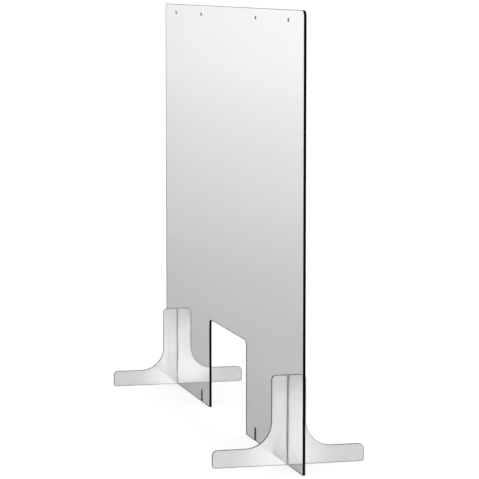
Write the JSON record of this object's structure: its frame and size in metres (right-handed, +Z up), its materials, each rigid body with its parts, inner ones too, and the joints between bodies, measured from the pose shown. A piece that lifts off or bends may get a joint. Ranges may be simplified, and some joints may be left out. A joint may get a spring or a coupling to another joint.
{
  "type": "desk privacy panel",
  "caption": "Tall clear acrylic desk screen with a pass-through cut-out in its bottom edge, standing in slotted cross feet that it lifts out of.",
  "frame": {"origin": "on the desk surface, under the middle of the screen", "axes": "+Z up; +X along the screen's width; +Y through the screen's thickness, along the feet"},
  "size_m": [1.2192, 0.3174, 0.9144],
  "materials": {
    "screen_sheet": "clear acrylic sheet, polished edges",
    "foot_sheet": "clear acrylic sheet, polished edges"
  },
  "bodies": {
    "left_foot": {"left_foot": "foot_sheet"},
    "panel": {"privacy_screen": "screen_sheet"},
    "right_foot": {"right_foot": "foot_sheet"}
  },
  "joints": [
    {"name": "panel_lift", "type": "slide", "parent": "left_foot", "child": "panel", "axis": [0, 0, 1], "range_m": [0, 0.19]},
    {"name": "right_foot_release", "type": "slide", "parent": "panel", "child": "right_foot", "axis": [0, 0, -1], "range_m": [0, 0.19]}
  ],
  "couplings": [
    {"joint": "right_foot_release", "follows": "panel_lift", "ratio": 1}
  ]
}
